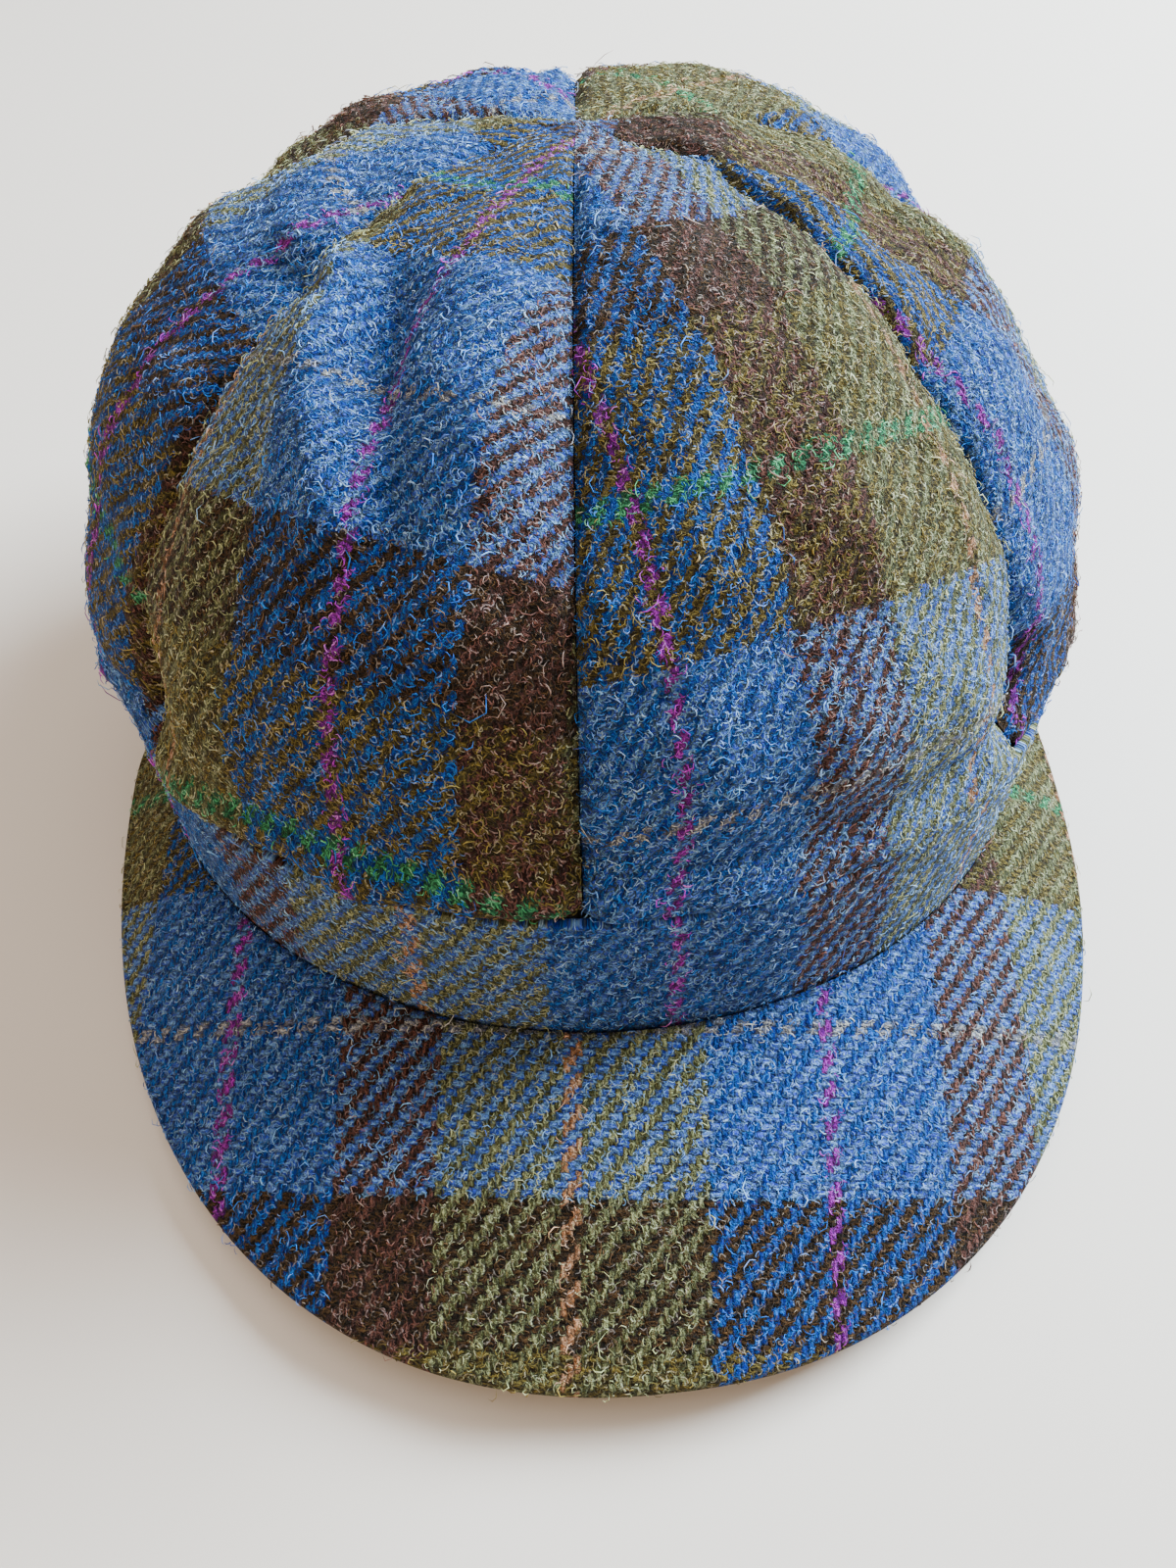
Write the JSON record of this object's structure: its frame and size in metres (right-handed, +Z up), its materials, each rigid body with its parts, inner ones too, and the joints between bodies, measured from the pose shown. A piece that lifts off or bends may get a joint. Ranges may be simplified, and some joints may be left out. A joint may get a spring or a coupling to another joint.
{
  "type": "baker boy cap",
  "caption": "Baker boy cap in checked woollen tweed, with a full panelled crown, an upright band and a stiff rounded peak.",
  "frame": {"origin": "middle of the cap's footprint, on the surface that it rests on", "axes": "+Z up, the peak points towards -Y, +X is to the right of someone who faces the peak"},
  "size_m": [0.2018, 0.2514, 0.1224],
  "materials": {
    "crown_tweed": "fuzzy checked twill tweed",
    "band_tweed": "fuzzy checked twill tweed",
    "peak_tweed": "smooth checked twill tweed over a stiff core"
  },
  "bodies": {
    "root": {"panel_front_left": "crown_tweed", "panel_front_right": "crown_tweed", "panel_side_left": "crown_tweed", "panel_side_right": "crown_tweed", "panel_back_left": "crown_tweed", "panel_back_right": "crown_tweed", "band": "band_tweed", "peak": "peak_tweed"}
  },
  "joints": []
}
